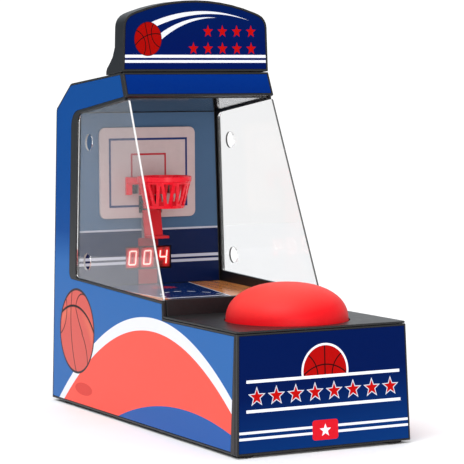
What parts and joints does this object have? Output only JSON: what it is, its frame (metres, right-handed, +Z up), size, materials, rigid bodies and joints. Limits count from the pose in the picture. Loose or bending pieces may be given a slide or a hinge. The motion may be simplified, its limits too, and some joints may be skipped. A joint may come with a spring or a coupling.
{
  "type": "desktop basketball arcade game",
  "caption": "Miniature basketball arcade machine: a big dome button kicks a small ball from its well up a walled playfield towards a netted hoop, above an electronic score display.",
  "frame": {"origin": "on the ground under the middle of the machine's bounding box", "axes": "+Z up, +Y from the player towards the back of the machine, +X to the player's right"},
  "size_m": [0.112, 0.2572, 0.2565],
  "materials": {
    "black_plastic": "fine satin texture",
    "gloss_black_plastic": "gloss",
    "blue_print": "semi-gloss printed film",
    "navy_print": "semi-gloss printed film",
    "sign_blue": "semi-gloss printed film",
    "soft_red": "soft satin",
    "red_plastic": "semi-gloss moulded",
    "cream_plastic": "satin with printed target",
    "wall_print": "semi-gloss printed film",
    "wood_print": "gloss printed film",
    "clear_acrylic": "clear polished",
    "digit_red": "tinted lens",
    "foot_rubber": "matte",
    "spring_steel": "bright drawn wire",
    "nickel": "nickel plated",
    "white_plastic": "moulded, as it comes",
    "board_green": "solder mask",
    "chip_black": "matte",
    "ball_orange": "matte",
    "cell_wrap": "shrink wrap",
    "wire_red": "soft insulation",
    "wire_black": "soft insulation"
  },
  "bodies": {
    "cabinet": {"left_side_wall": "black_plastic", "right_side_wall": "black_plastic", "left_side_label": "blue_print", "right_side_label": "blue_print", "left_window": "clear_acrylic", "right_window": "clear_acrylic", "front_panel": "black_plastic", "front_label": "navy_print", "top_deck": "black_plastic", "base_plate": "black_plastic", "front_left_foot": "foot_rubber", "front_right_foot": "foot_rubber", "rear_left_foot": "foot_rubber", "rear_right_foot": "foot_rubber", "roof_panel": "black_plastic", "ceiling_panel": "gloss_black_plastic", "fascia_panel": "black_plastic", "fascia_label": "sign_blue", "sign_shell": "black_plastic", "sign_label": "navy_print", "front_lip": "black_plastic", "floor_tray": "black_plastic", "floor_label": "wood_print", "ball_well": "black_plastic", "back_wall": "black_plastic", "back_wall_label": "wall_print", "backboard": "cream_plastic", "hoop": "red_plastic", "hundreds_digit": "digit_red", "tens_digit": "digit_red", "ones_digit": "digit_red", "display_board": "chip_black", "score_switch": "chip_black", "button_guide": "white_plastic", "button_spring": "spring_steel", "launch_axle": "spring_steel", "lever_stand": "black_plastic", "rear_cover": "black_plastic", "rear_screw_1": "nickel", "rear_screw_2": "nickel", "rear_screw_3": "nickel", "rear_screw_4": "nickel", "battery_tray": "black_plastic", "battery_1": "cell_wrap", "battery_2": "cell_wrap", "battery_3": "cell_wrap", "left_battery_contact": "nickel", "right_battery_contact": "nickel", "power_switch_body": "nickel", "speaker": "chip_black", "main_board": "board_green", "battery_lead_red": "wire_red", "battery_lead_black": "wire_black"},
    "dome": {"dome_button": "soft_red"},
    "launcher": {"launch_lever": "white_plastic"},
    "ball": {"ball": "ball_orange"},
    "scorer": {"score_lever": "red_plastic"},
    "door": {"battery_door": "black_plastic"},
    "switch": {"power_switch_knob": "white_plastic"}
  },
  "joints": [
    {"name": "button_press", "type": "slide", "parent": "cabinet", "child": "dome", "axis": [0, 0, -1], "range_m": [0, 0.006], "stiffness_N_per_m": 300, "springref_m": -0.003, "deforming": ["button_spring"]},
    {"name": "launcher_turn", "type": "hinge", "parent": "cabinet", "child": "launcher", "pos_m": [0, -0.04365, 0.05], "axis": [1, 0, 0], "range_deg": [0, 15]},
    {"name": "ball_kick", "type": "slide", "parent": "cabinet", "child": "ball", "axis": [0, 0, 1], "range_m": [0, 0.0091]},
    {"name": "scorer_turn", "type": "hinge", "parent": "cabinet", "child": "scorer", "pos_m": [-0.0003, 0.09175, 0.1272], "axis": [1, 0, 0], "range_deg": [0, 8], "stiffness_Nm_per_rad": 0.002, "springref_deg": -17.19},
    {"name": "battery_door_turn", "type": "hinge", "parent": "cabinet", "child": "door", "pos_m": [0, 0.12855, 0.0131], "axis": [-1, 0, 0], "range_deg": [0, 95]},
    {"name": "power_switch_slide", "type": "slide", "parent": "cabinet", "child": "switch", "axis": [1, 0, 0], "range_m": [0, 0.003]}
  ],
  "couplings": [
    {"joint": "launcher_turn", "follows": "button_press", "rad_per_m": 43},
    {"joint": "ball_kick", "follows": "button_press", "ratio": 1.5}
  ]
}
